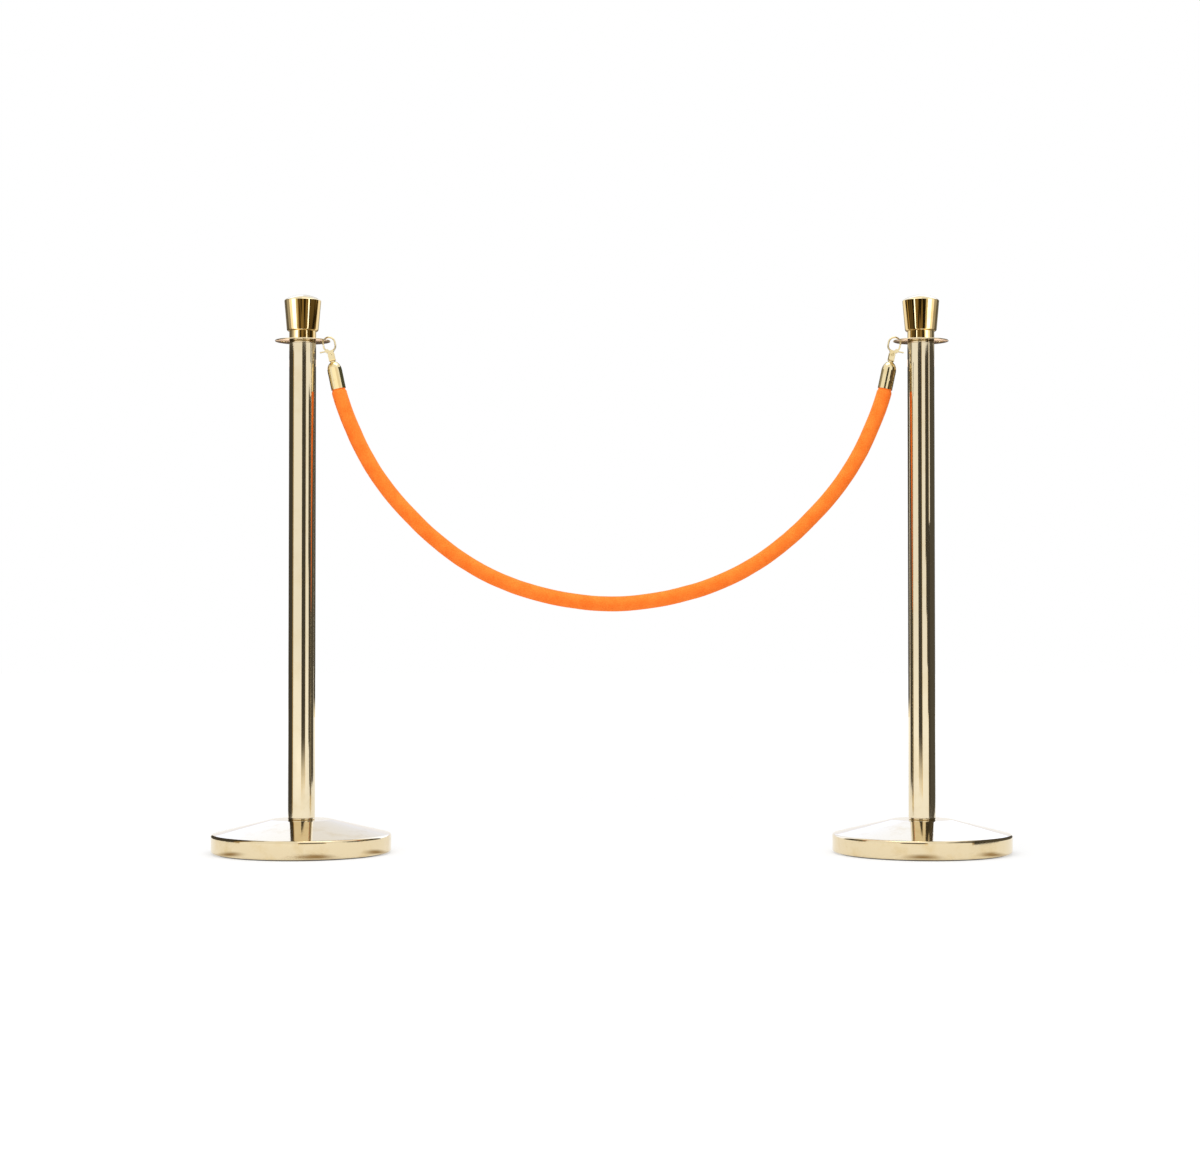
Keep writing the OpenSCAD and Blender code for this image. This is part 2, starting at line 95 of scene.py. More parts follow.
rope_line = bpy.data.curves.new("rope_line", "CURVE")
rope_line.dimensions = "3D"
rope_line.resolution_u = 26
rope_line.bevel_depth = ROPE_R
rope_line.bevel_resolution = 22
rope_line.use_fill_caps = True
spline = rope_line.splines.new("BEZIER")
spline.bezier_points.add(len(route) - 1)
for i, (point, place) in enumerate(zip(spline.bezier_points, route)):
    point.co = place
    point.handle_left_type = point.handle_right_type = "AUTO"
    point.radius = ROPE_IN_CAP_R / ROPE_R if min(i, len(route) - 1 - i) < 2 else 1
rope_guide = bpy.data.objects.new("rope_line", rope_line)
scene.collection.objects.link(rope_guide)
bpy.context.view_layer.update()
rope_length = spline.calc_length()
print("rope length", round(rope_length, 3), "m")

# %% [markdown]
# ## The rope itself
# The plush sleeve is not perfectly round: the filling is a little lumpy and the pile stands in tufts. The
# curve is turned into a mesh, and each vertex is pushed along its normal by two layers of noise, one as wide
# as a finger and one as fine as the pile. The ends stay smooth where the caps hold them.

# %% Rope mesh
LUMP_SIZE = 26 * MM
LUMP_HEIGHT = 0.25 * MM
TUFT_SIZE = 3.2 * MM
TUFT_HEIGHT = 0.1 * MM
FREE_BELOW = 822 * MM
EASE_IN = 10 * MM


def finished(piece_name, mesh, body, replaced):
    """Put a mesh in the scene as one piece that rides on a body and stands for some nodes."""
    piece = bpy.data.objects.new(piece_name, mesh)
    scene.collection.objects.link(piece)
    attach(piece, body)
    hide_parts(*replaced)
    return piece


drawn_rope = rope_guide.evaluated_get(bpy.context.evaluated_depsgraph_get())
rope_mesh = bpy.data.meshes.new_from_object(drawn_rope)
rope_mesh.name = "plush_rope"
bpy.data.objects.remove(rope_guide)
bm = bmesh.new()
bm.from_mesh(rope_mesh)
bmesh.ops.remove_doubles(bm, verts=bm.verts, dist=1e-6)
bmesh.ops.recalc_face_normals(bm, faces=bm.faces)
bm.normal_update()
moves = []
for vert in bm.verts:
    free = min(1, max(0, (FREE_BELOW - vert.co.z) / EASE_IN))
    lump = noise.noise(vert.co / LUMP_SIZE) * LUMP_HEIGHT
    tuft = noise.noise(vert.co / TUFT_SIZE) * TUFT_HEIGHT
    moves.append(vert.normal * (lump + tuft) * free)
for vert, move in zip(bm.verts, moves):
    vert.co += move
for face in bm.faces:
    face.smooth = True
bm.to_mesh(rope_mesh)
bm.free()
rope = finished("plush_rope", rope_mesh, "rope", ["rope_core", "rope_sleeve"])
print("rope faces", len(rope_mesh.polygons), "uv maps", [m.name for m in rope_mesh.uv_layers])

# %% [markdown]
# ## Two small tools for finishes
# Colours are written as sRGB hex values, the way a colour picker shows them, and shaders want linear light,
# so one function turns one into the other. A second one adds a node with its settings, values and links.

# %% Tools for finishes


def linear(hex_colour):
    """The linear colour of an sRGB hex value such as #EADCBC."""
    srgb = [int(hex_colour[i:i + 2], 16) / 255 for i in (1, 3, 5)]
    return [c / 12.92 if c <= 0.04045 else ((c + 0.055) / 1.055) ** 2.4 for c in srgb] + [1]


def add_node(tree, kind, put=None, link=None, **settings):
    """Add a node; settings are its properties, put its input values and link its input sources."""
    node = tree.nodes.new(kind)
    for key, value in settings.items():
        setattr(node, key, value)
    for key, value in (put or {}).items():
        node.inputs[key].default_value = value
    for key, source in (link or {}).items():
        tree.links.new(source, node.inputs[key])
    return node


def new_material(name):
    """A material with only its output, and that output node."""
    material = bpy.data.materials.new(name)
    material.use_nodes = True
    tree = material.node_tree
    tree.nodes.clear()
    return material, tree, tree.nodes.new("ShaderNodeOutputMaterial")


print("white is", linear("#FFFFFF"))

# %% [markdown]
# ## Studio: white all round
# The picture was taken on a white sweep. A world of strength 1 gives pure white to the camera and to
# reflections, while plain surfaces get a softer share of it. The floor is a lit sweep: matte, with a glow
# of its own that grows with the distance from the lamps, so it is as white as the background, lights the
# underside of the rope and still takes a faint shadow.

# %% Studio world and floor
FLOOR_SIZE = 30
SKY_FILL = 0.68
SEEN_WHITE = 1
GLOW_FROM, GLOW_TO = (0.3, 0.53), (5, 0.82)


def seen_directly(tree):
    """One for camera, glossy and transmission rays, and zero for the rest."""
    path = add_node(tree, "ShaderNodeLightPath")
    either = add_node(tree, "ShaderNodeMath", operation="MAXIMUM",
                      link={0: path.outputs["Is Camera Ray"], 1: path.outputs["Is Glossy Ray"]})
    return add_node(tree, "ShaderNodeMath", operation="MAXIMUM",
                    link={0: either.outputs[0], 1: path.outputs["Is Transmission Ray"]}).outputs[0]


world = bpy.data.worlds.new("white_studio")
scene.world = world
world.use_nodes = True
tree = world.node_tree
tree.nodes.clear()
fill = add_node(tree, "ShaderNodeBackground", put={"Color": linear("#FFFFFF"), "Strength": SKY_FILL})
white = add_node(tree, "ShaderNodeBackground", put={"Color": linear("#FFFFFF"), "Strength": SEEN_WHITE})
sky = add_node(tree, "ShaderNodeMixShader",
               link={0: seen_directly(tree), 1: fill.outputs[0], 2: white.outputs[0]})
add_node(tree, "ShaderNodeOutputWorld", link={0: sky.outputs[0]})

floor_white, tree, out = new_material("painted_floor")
where = add_node(tree, "ShaderNodeTexCoord").outputs["Object"]
away = add_node(tree, "ShaderNodeVectorMath", operation="LENGTH", link={0: where})
need = add_node(tree, "ShaderNodeMapRange", interpolation_type="SMOOTHSTEP",
                put={"From Min": GLOW_FROM[0], "From Max": GLOW_TO[0],
                     "To Min": GLOW_FROM[1], "To Max": GLOW_TO[1]},
                link={"Value": away.outputs["Value"]})
glow = add_node(tree, "ShaderNodeEmission", put={"Color": linear("#FFFFFF")},
                link={"Strength": need.outputs[0]})
matte = add_node(tree, "ShaderNodeBsdfDiffuse", put={"Color": linear("#A8A8A8")})
both = add_node(tree, "ShaderNodeAddShader", link={0: matte.outputs[0], 1: glow.outputs[0]})
tree.links.new(both.outputs[0], out.inputs["Surface"])

floor_mesh = bpy.data.meshes.new("studio_floor")
bm = bmesh.new()
bmesh.ops.create_grid(bm, x_segments=1, y_segments=1, size=FLOOR_SIZE / 2)
bm.to_mesh(floor_mesh)
bm.free()
floor = bpy.data.objects.new("studio_floor", floor_mesh)
floor.data.materials.append(floor_white)
scene.collection.objects.link(floor)
print("floor", FLOOR_SIZE, "m")

# %% [markdown]
# ## Studio: lamps
# One large soft lamp above and a little in front lights the top of the rope, and a weaker one at the front
# left keeps its face even. They light plain surfaces only: what the metal shows is set out by the screens
# and panels of the next steps, so the lamps are hidden from reflections.

# %% Studio lamps


def soft_lamp(name, place, aim, size, power):
    """A square soft lamp that points at a place and isn't seen in the metal."""
    data = bpy.data.lights.new(name, "AREA")
    data.shape = "SQUARE"
    data.size = size
    data.energy = power
    lamp = bpy.data.objects.new(name, data)
    lamp.location = place
    lamp.rotation_euler = (Vector(aim) - Vector(place)).to_track_quat("-Z", "Y").to_euler()
    lamp.visible_glossy = False
    scene.collection.objects.link(lamp)
    return lamp


soft_lamp("top_lamp", (0, -0.6, 3.2), (0, 0, 0.5), 3.0, 80)
soft_lamp("front_lamp", (-1.6, -3.2, 1.8), (0, 0, 0.6), 2.0, 22)

# %% [markdown]
# ## Studio: dark screens
# Polished metal has hardly a look of its own: it shows the room. The sharp upright bands on the posts are
# the room's dark gaps between white panels. Each gap is a dark screen here, placed by tracing a view ray
# from the camera to the tube and on from its mirror direction. A strip of warm half tone along both ends of
# a screen gives its bands the tan edge they have on gold. The front screen on the right is cut back in
# steps towards the floor, because its band on the right post grows narrower downwards. The screens are seen
# by reflections alone, so they neither block the view nor shade the floor.

# %% Studio screens
SCREEN_DARK = 0.06
WARM = "#FFDFA0"
STRIP_TONE = 0.4


def stage_piece(name, mesh, material):
    """A thing of the studio that only reflections see."""
    piece = bpy.data.objects.new(name, mesh)
    piece.data.materials.append(material)
    for kind in ("camera", "diffuse", "transmission", "volume_scatter", "shadow"):
        setattr(piece, "visible_" + kind, False)
    scene.collection.objects.link(piece)
    return piece


def cloth(name, tone, colour, low=0, fade=0, columns=0, inside=False, spot=None):
    """What a screen shows: one tone, that may fade to white below or break up into upright columns.

    With inside it is clear from behind; with a spot, a centre and a radius, it thins out round the centre.
    """
    material, tree, out = new_material(name)
    glow = add_node(tree, "ShaderNodeEmission", put={"Color": linear(colour), "Strength": tone})
    where = add_node(tree, "ShaderNodeTexCoord").outputs["Object"]
    if fade:
        split = add_node(tree, "ShaderNodeSeparateXYZ", link={0: where})
        rise = add_node(tree, "ShaderNodeMapRange", interpolation_type="SMOOTHSTEP",
                        put={"From Min": low, "From Max": low + fade, "To Min": 1, "To Max": tone},
                        link={"Value": split.outputs["Z"]})
        tree.links.new(rise.outputs[0], glow.inputs["Strength"])
    if columns:
        slim = add_node(tree, "ShaderNodeMapping", put={"Scale": (1 / columns, 1 / columns, 6)},
                        link={"Vector": where})
        folds = add_node(tree, "ShaderNodeTexNoise", put={"Scale": 1, "Detail": 2},
                         link={"Vector": slim.outputs[0]})
        depth = add_node(tree, "ShaderNodeMapRange",
                         put={"From Min": 0.45, "From Max": 0.56, "To Min": 0.1 * tone, "To Max": 2 * tone},
                         link={"Value": folds.outputs[0]})
        tree.links.new(depth.outputs[0], glow.inputs["Strength"])
    surface = glow.outputs[0]
    thin = None
    if inside:
        thin = add_node(tree, "ShaderNodeNewGeometry").outputs["Backfacing"]
    if spot:
        away = add_node(tree, "ShaderNodeVectorMath", operation="DISTANCE", put={1: spot[0]}, link={0: where})
        thin = add_node(tree, "ShaderNodeMapRange", interpolation_type="SMOOTHSTEP",
                        put={"From Min": 0, "From Max": spot[1]},
                        link={"Value": away.outputs["Value"]}).outputs[0]
    if thin:
        clear = add_node(tree, "ShaderNodeBsdfTransparent")
        surface = add_node(tree, "ShaderNodeMixShader",
                           link={0: thin, 1: surface, 2: clear.outputs[0]}).outputs[0]
    tree.links.new(surface, out.inputs["Surface"])
    return material


def screen(name, plan, low, high, tone, colour="#FFF6E4", fade=0, columns=0, round_x=None, lean=0):
    """A screen over a line of plan points, leaning in X.

    With round_x, the place of the axis that it bends round, it is only seen from that axis.
    """
    mesh = bpy.data.meshes.new(name)
    bm = bmesh.new()
    line = [bm.verts.new((x, y, low)) for x, y in plan]
    edges = [bm.edges.new(pair) for pair in zip(line, line[1:])]
    raised = bmesh.ops.extrude_edge_only(bm, edges=edges)["geom"]
    tops = [v for v in raised if isinstance(v, bmesh.types.BMVert)]
    bmesh.ops.translate(bm, verts=tops, vec=(lean, 0, high - low))
    bm.normal_update()
    if round_x is not None:
        axis = Vector((round_x, 0, (low + high) / 2))
        away = [f for f in bm.faces if f.normal.dot(axis - f.calc_center_median()) < 0]
        bmesh.ops.reverse_faces(bm, faces=away)
    bm.to_mesh(mesh)
    bm.free()
    inside = round_x is not None
    return stage_piece(name, mesh, cloth(name + "_cloth", tone, colour, low, fade, columns, inside))


def edged_screen(name, start, end, low, high, shares, fade=0):
    """A straight dark screen with a strip of warm half tone at both ends; shares are their widths."""
    screen(name, [start, end], low, high, SCREEN_DARK, fade=fade)
    a, b = Vector(start), Vector(end)
    screen(name + "_start", [a - (b - a) * shares[0], a], low, high, STRIP_TONE, WARM, fade)
    screen(name + "_end", [b, b + (b - a) * shares[1]], low, high, STRIP_TONE, WARM, fade)


edged_screen("centre_screen", (-0.4245, -1.5155), (0.455, -1.43), 0, 1.12, (0.04, 0.1), fade=0.14)
edged_screen("left_screen", (-1.368, -0.144), (-1.0, 0.9), 0, 1.0, (0.16, 0.05))
FRONT_START, FRONT_END = Vector((1.01, -0.83)), Vector((1.20, -0.40))
FRONT_TIERS = [(0, 0.22, 0.9), (0.22, 0.32, 0.7), (0.32, 0.43, 0.5), (0.43, 0.55, 0.25), (0.55, 1.0, 0)]
for i, (low, high, cut) in enumerate(FRONT_TIERS):
    strips = (0.08 / (1 - cut), 0.1 / (1 - cut))
    start = FRONT_START.lerp(FRONT_END, cut)
    edged_screen("right_screen_front_" + str(i), start, FRONT_END, low, high, strips)
screen("right_screen_gap", [FRONT_END, (1.25, -0.25)], 0, 0.62, SCREEN_DARK)
screen("far_screen_low", [(3.0, -1.6), (3.0, -0.8)], 0, 0.45, SCREEN_DARK)
screen("far_screen", [(3.0, -0.8), (3.0, -0.5)], 0, 1.6, SCREEN_DARK)
screen("right_screen_side", [(1.25, -0.25), (1.25, 0.5), (1.08, 1.2)], 0, 1.0, 0.09)
screen("left_screen_top", [(-1.33, -0.04), (-1.0, 0.99)], 1.0, 1.6, 0.36)
screen("right_screen_top", [(1.25, -0.1), (1.25, 0.5), (1.08, 1.2)], 1.0, 1.6, 0.36)

# %% [markdown]
# ## Studio: cards behind the posts
# The thin outer edges of a round bar mirror what stands behind it. Without something dark there the posts
# would melt into the white room, so a pair of cards stands behind each post, one towards the other post and
# one outside. The mirror of the collar's underside looks back and down, at two low cards behind the post:
# the far half of the disc shows the dark one and the near half the light one.

# %% Edge and collar cards
EDGE_Y, LOW_EDGE_Y, COLLAR_CARD_Y = 0.15, 0.05, 0.13
LOW_RANGE, POST_RANGE, CROWN_RANGE, DOME_RANGE = (0.24, 0.34), (0.33, 0.925), (0.925, 1.012), (1.012, 1.06)
COLLAR_FROM, COLLAR_SPLIT, COLLAR_TO = 0.885, 0.8985, 0.914
INNER_TONE = 0.09
OUTER_TONE = {"left": 0.3, "right": 0.1}
for side, sign in SIDES.items():
    inner = [(sign * 0.33, EDGE_Y), (sign * 0.56, EDGE_Y)]
    outer = [(sign * 0.59, EDGE_Y), (sign * 0.65, EDGE_Y)]
    low_inner = [(sign * 0.463, LOW_EDGE_Y), (sign * 0.555, LOW_EDGE_Y)]
    low_outer = [(sign * 0.58, LOW_EDGE_Y), (sign * 0.603, LOW_EDGE_Y)]
    screen(side + "_edge_card_inner", inner, *POST_RANGE, INNER_TONE)
    screen(side + "_edge_card_outer", outer, *POST_RANGE, OUTER_TONE[side])
    screen(side + "_edge_card_low_inner", low_inner, *LOW_RANGE, INNER_TONE, fade=0.04)
    screen(side + "_edge_card_low_outer", low_outer, *LOW_RANGE, OUTER_TONE[side], fade=0.04)
    screen(side + "_edge_card_top_inner", inner, *CROWN_RANGE, 0.5)
    screen(side + "_edge_card_top_outer", outer, *CROWN_RANGE, 0.3)
    screen(side + "_dome_card", [(sign * 0.48, EDGE_Y), (sign * 0.66, EDGE_Y)], *DOME_RANGE, 0.6)
    across = [(sign * 0.48, COLLAR_CARD_Y), (sign * 0.63, COLLAR_CARD_Y)]
    screen(side + "_collar_card_low", across, COLLAR_FROM, COLLAR_SPLIT, 1.35, "#FFE2CC")
    screen(side + "_collar_card_high", across, COLLAR_SPLIT, COLLAR_TO, 0.1, "#FFDCC0")

# %% [markdown]
# ## Studio: rings of cards
# The wall of a crown leans out, so it looks level across the room where the tubes look up, and shows other
# things: bright cream at the outer side, a streaked dark middle, a thin light line and a black stripe at
# the inner side. The caps of the rope look up and show dark things too. A ring of narrow cards stands close
# round each of them and is only seen from inside. Angles are in degrees: zero is towards the viewer, and
# they grow towards the other post.

# %% Rings of cards
CROWN_RING_R, CROWN_RING_FROM, CROWN_RING_TO = 45 * MM, 919 * MM, 998 * MM
CAP_RING_R, CAP_RING_FROM, CAP_RING_TO = 30 * MM, 822 * MM, 882 * MM
CAP_RING_X, CAP_RING_LEAN = 488.5 * MM, 12.8 * MM
CARD_STEPS = 8
CROWN_CARDS = [
    (-105, -75.5, 0.14, "#FFF2DC", 0),
    (-75.5, -55.5, 0.45, "#FFF2DC", 0),
    (-55.5, -41, 1.3, "#FFF2DC", 0),
    (-41, -22.5, 2.4, "#FFFFFF", 0),
    (-22.5, -14, 0.7, "#FFE7B4", 0),
    (-14, 31, 0.14, "#FFD07A", 0.0065),
    (31, 35.5, 2.4, "#FFFFFF", 0),
    (35.5, 67, 0.06, "#FFD07A", 0.009),
    (67, 85.5, 0.26, "#FFD07A", 0.008),
    (85.5, 112, 1.1, "#FFF2DC", 0),
]
CAP_CARDS = {
    "left": [(-30, 14, 1.2, "#FFFAF0", 0), (14, 43, 0.95, "#FFF6E4", 0), (59, 160, 0.075, "#F6FFD8", 0)],
    "right": [(-76, -38, 0.13, "#FFD9A8", 0.004), (2, 23, 0.05, "#F6FFD8", 0), (95, 160, 0.22, "#FFF6D8", 0)],
}


def card_ring(name, side, centre_x, lean, radius, low, high, cards):
    """Cards round an axis that leans outwards: from angle, to angle, tone, colour and column width."""
    sign = SIDES[side]
    for i, (start, end, tone, colour, columns) in enumerate(cards):
        turns = [math.radians(start + (end - start) * k / CARD_STEPS) for k in range(CARD_STEPS + 1)]
        plan = [(sign * (centre_x - radius * math.sin(t)), -radius * math.cos(t)) for t in turns]
        screen(side + name + str(i), plan, low, high, tone, colour, columns=columns,
               round_x=sign * centre_x, lean=sign * lean)


for side in SIDES:
    card_ring("_crown_ring_", side, POST_X, 0, CROWN_RING_R, CROWN_RING_FROM, CROWN_RING_TO, CROWN_CARDS)
    card_ring("_cap_ring_", side, CAP_RING_X, CAP_RING_LEAN, CAP_RING_R, CAP_RING_FROM, CAP_RING_TO,
              CAP_CARDS[side])

# %% [markdown]
# ## Studio: bright panels
# Far behind the barrier stand tall cool panels. The cones of the bases and the domes of the crowns mirror
# them at a low angle; their blue takes the gold out of them, so they look almost white. A panel overhead
# puts the round bright spot on each cap. Dim patches on the floor, close in front of the bases, are painted
# shadow: they stand in for the shadow each base casts close round its foot, and are mirrored low on the
# rims as dark marks.

# %% Studio panels


def panel(name, centre, size, turn, strength, colour, spot=None):
    """A flat glowing panel that only reflections see."""
    mesh = bpy.data.meshes.new(name)
    bm = bmesh.new()
    corners = bmesh.ops.create_grid(bm, x_segments=1, y_segments=1, size=0.5)["verts"]
    bmesh.ops.scale(bm, verts=corners, vec=(size[0], size[1], 1))
    bmesh.ops.rotate(bm, verts=corners, matrix=Matrix.Rotation(math.radians(turn), 3, "X"))
    bmesh.ops.translate(bm, verts=corners, vec=centre)
    bm.to_mesh(mesh)
    bm.free()
    return stage_piece(name, mesh, cloth(name + "_glow", strength, colour, spot=spot))


COOL = "#D4E0FF"
BACK_Y = 3.6
BACK_PANELS = [(-4, -1, 1.85, COOL), (-1, -0.05, 1.3, "#DFE6FA"), (-0.05, 1, 1.8, COOL), (1, 4, 2.2, COOL)]
for i, (start, end, strength, colour) in enumerate(BACK_PANELS):
    panel("back_panel_" + str(i), ((start + end) / 2, BACK_Y, 2.7), (end - start, 3.8), 90, strength, colour)
panel("back_panel_foot", (0, BACK_Y, 0.6), (8, 0.4), 90, 1.1, "#F2F4FF")
panel("top_panel", (0, 0.1, 2.6), (1.3, 1.3), 0, 2.6, "#FFFFFF")
# Painted shadow: dim patches on the floor, seen only in reflections, stand in for the contact shadow in front
# of each base.
SHADOW_PATCH_REACH, SHADOW_PATCH_SIZE, SHADOW_PATCH_R, SHADOW_PATCH_Z, SHADOW_PATCH_TONE = 0.2, 0.15, 0.07, 0.0008, 0.36
SHADOW_PATCHES = {"left": [-56, 11, 19, 76], "right": [-14, -7, 46, 54]}
for side, sign in SIDES.items():
    for i, turn in enumerate(SHADOW_PATCHES[side]):
        x = sign * POST_X + SHADOW_PATCH_REACH * math.sin(math.radians(turn))
        place = Vector((x, -SHADOW_PATCH_REACH * math.cos(math.radians(turn)), SHADOW_PATCH_Z))
        size = (SHADOW_PATCH_SIZE, SHADOW_PATCH_SIZE)
        panel(side + "_painted_shadow_" + str(i), place, size, 0, SHADOW_PATCH_TONE, "#FFDDA8", (place, SHADOW_PATCH_R))

# %% [markdown]
# ## Polished metal
# The posts and bases are steel with a thin pale gold plating, polished bright; the crowns and hooks are
# lacquered brass, deeper in colour. Both are metals, so their colour is the colour of their reflection.
# A real one is never a perfect mirror: hands leave patches that blur it, the polishing wheel leaves fine
# lines, and the wall is not quite even, so straight reflections waver. The hand marks and the uneven wall
# are each a noise with a size in millimetres; on the tubes and crowns the waves are drawn out upright.

# %% Polished metal
HAND_MARK = 38 * MM


def polished_metal(name, colour, worn_colour, roughness, wave_size, wave_height, stretch):
    """A bright metal with hand marks and a slightly wavy wall.

    stretch is how much longer the waves are along X, Y and Z.
    """
    material, tree, out = new_material(name)
    where = add_node(tree, "ShaderNodeTexCoord").outputs["Object"]
    hand_marks = add_node(tree, "ShaderNodeTexNoise",
                          put={"Scale": 1 / HAND_MARK, "Detail": 4, "Roughness": 0.6},
                          link={"Vector": where})
    blur = add_node(tree, "ShaderNodeMapRange",
                    put={"From Min": 0.42, "From Max": 0.72, "To Min": roughness, "To Max": roughness + 0.04},
                    link={"Value": hand_marks.outputs[0]})
    tarnish = add_node(tree, "ShaderNodeMapRange", put={"From Min": 0.5, "From Max": 0.8},
                       link={"Value": hand_marks.outputs[0]})
    tint = add_node(tree, "ShaderNodeMix", data_type="RGBA", put={6: linear(colour), 7: linear(worn_colour)},
                    link={0: tarnish.outputs[0]})
    turned = add_node(tree, "ShaderNodeMapping", vector_type="POINT",
                      put={"Scale": [1 / (wave_size * s) for s in stretch]}, link={"Vector": where})
    waves = add_node(tree, "ShaderNodeTexNoise", put={"Scale": 1, "Detail": 1, "Roughness": 0.4},
                     link={"Vector": turned.outputs[0]})
    waver = add_node(tree, "ShaderNodeBump", put={"Strength": 1, "Distance": wave_height},
                     link={"Height": waves.outputs[0]})
    shader = add_node(tree, "ShaderNodeBsdfPrincipled", put={"Metallic": 1},
                      link={"Base Color": tint.outputs[2], "Roughness": blur.outputs[0],
                            "Normal": waver.outputs[0]})
    tree.links.new(shader.outputs[0], out.inputs["Surface"])
    return material


plated_tube = polished_metal("gold_plated_steel_tube", "#EADCBC", "#E4D3AE", 0.06,
                             30 * MM, 0.006 * MM, (1, 1, 16))
plated_sheet = polished_metal("gold_plated_steel_sheet", "#E6D4AE", "#DDC594", 0.06,
                              60 * MM, 0.03 * MM, (1, 1, 1))
crown_brass = polished_metal("lacquered_brass_crown", "#EAD9AE", "#DEC58C", 0.05,
                             12 * MM, 0.02 * MM, (1, 1, 10))
hook_brass = polished_metal("lacquered_brass_hook", "#EFDDAF", "#E2C88A", 0.1,
                            8 * MM, 0.02 * MM, (1, 1, 1))
print("metals", plated_tube.name, plated_sheet.name, crown_brass.name, hook_brass.name)

# %% [markdown]
# ## Plush
# The sleeve is woven with a short dense pile, like velvet. The pile scatters light softly, looks lighter
# where it is seen edge on, and looks darker in the small gaps where tufts part. Sheen gives the light edge; a
# fine noise of about a millimetre gives the tufts, coarser than the real pile so that it shows in the
# picture.
# The same noise darkens the colour in the gaps between tufts, which is painted shade. A wider noise varies
# the orange at random.

# %% Plush
PILE_GRAIN = 1.6 * MM
PILE_PATCH = 22 * MM
PILE_DEPTH = 0.4 * MM
plush, tree, out = new_material("orange_plush")
where = add_node(tree, "ShaderNodeTexCoord").outputs["Object"]
tufts = add_node(tree, "ShaderNodeTexNoise", put={"Scale": 1 / PILE_GRAIN, "Detail": 3, "Roughness": 0.7},
                 link={"Vector": where})
patches = add_node(tree, "ShaderNodeTexNoise", put={"Scale": 1 / PILE_PATCH, "Detail": 3, "Roughness": 0.6},
                   link={"Vector": where})
# Painted shade: the tuft noise darkens the colour where the bump makes gaps between tufts, and the patches
# add random tone.
depth = add_node(tree, "ShaderNodeMath", operation="MULTIPLY_ADD", put={1: 0.65, 2: 0},
                 link={0: tufts.outputs[0]})
tone_and_gap_shade = add_node(tree, "ShaderNodeMath", operation="MULTIPLY_ADD", put={1: 0.35},
               link={0: patches.outputs[0], 2: depth.outputs[0]})
shade = add_node(tree, "ShaderNodeMapRange", put={"From Min": 0.35, "From Max": 0.65},
                 link={"Value": tone_and_gap_shade.outputs[0]})
orange = add_node(tree, "ShaderNodeMix", data_type="RGBA", put={6: linear("#F56A1C"), 7: linear("#FF8A34")},
                  link={0: shade.outputs[0]})
pile = add_node(tree, "ShaderNodeBump", put={"Strength": 0.5, "Distance": PILE_DEPTH},
                link={"Height": tufts.outputs[0]})
shader = add_node(tree, "ShaderNodeBsdfPrincipled",
                  put={"Roughness": 0.9, "Specular IOR Level": 0.15, "Sheen Weight": 0.35,
                       "Sheen Roughness": 0.4, "Sheen Tint": linear("#FFB46A")},
                  link={"Base Color": orange.outputs[2], "Normal": pile.outputs[0]})
tree.links.new(shader.outputs[0], out.inputs["Surface"])
rope.data.materials.append(plush)
print("rope finish", plush.name)

# %% [markdown]
# ## Hidden and plain parts
# Underneath and inside are parts that are only seen when the barrier is picked up or taken apart: the cast
# iron weight, the rubber ring it stands on, zinc plated bolts and studs, and the beech plug in each cap.

# %% Plain finishes


def plain_finish(name, dark, light, grain, roughness, metallic, height):
    """A finish with a fine grain in colour and relief."""
    material, tree, out = new_material(name)
    where = add_node(tree, "ShaderNodeTexCoord").outputs["Object"]
    turned = add_node(tree, "ShaderNodeMapping", put={"Scale": [1 / g for g in grain]},
                      link={"Vector": where})
    specks = add_node(tree, "ShaderNodeTexNoise", put={"Scale": 1, "Detail": 5, "Roughness": 0.6},
                      link={"Vector": turned.outputs[0]})
    tint = add_node(tree, "ShaderNodeMix", data_type="RGBA", put={6: linear(dark), 7: linear(light)},
                    link={0: specks.outputs[0]})
    relief = add_node(tree, "ShaderNodeBump", put={"Strength": 1, "Distance": height},
                      link={"Height": specks.outputs[0]})
    shader = add_node(tree, "ShaderNodeBsdfPrincipled", put={"Metallic": metallic, "Roughness": roughness},
                      link={"Base Color": tint.outputs[2], "Normal": relief.outputs[0]})
    tree.links.new(shader.outputs[0], out.inputs["Surface"])
    return material


cast_iron = plain_finish("painted_cast_iron", "#2B2B2D", "#4B4B4D", [2.5 * MM] * 3, 0.6, 0, 0.3 * MM)
black_rubber = plain_finish("moulded_black_rubber", "#181818", "#2C2C2C", [1.5 * MM] * 3, 0.75, 0, 0.1 * MM)
zinc = plain_finish("zinc_plated_steel", "#A9ABAB", "#CDCFCE", [4 * MM] * 3, 0.32, 1, 0.02 * MM)
beech = plain_finish("turned_beech", "#A87C4E", "#D2AC7C", [1 * MM, 1 * MM, 9 * MM], 0.6, 0, 0.05 * MM)
print("plain finishes", cast_iron.name, black_rubber.name, zinc.name, beech.name)

# %% [markdown]
# ## Dress the nodes
# Every node gets the finish of its own kind. The names carry the side first, so one table of the plain
# names serves both posts.

# %% Dress the nodes
FINISHES = {
    plated_tube: ["post_tube", "tube_seat", "collar_seat"],
    plated_sheet: ["base_cover", "collar"],
    crown_brass: ["crown"],
    hook_brass: ["end_cap", "yoke", "claw", "gate", "yoke_rivet", "swivel_stem", "cap_screw", "gate_pin"],
    cast_iron: ["base_weight"],
    black_rubber: ["foot_ring"],
    zinc: ["base_bolt", "base_washer", "bottom_plug", "top_plug", "crown_insert", "crown_stud",
           "gate_spring"],
    beech: ["cap_plug"],
}
finish_of = {part: finish for finish, parts in FINISHES.items() for part in parts}
for side in SIDES:
    for part, finish in finish_of.items():
        mesh = nodes[side + "_" + part].data
        mesh.materials.clear()
        mesh.materials.append(finish)
for part in ("rope_core", "rope_sleeve"):
    nodes[part].data.materials.clear()
    nodes[part].data.materials.append(plush)
print("nodes dressed", 2 * len(finish_of) + 2)

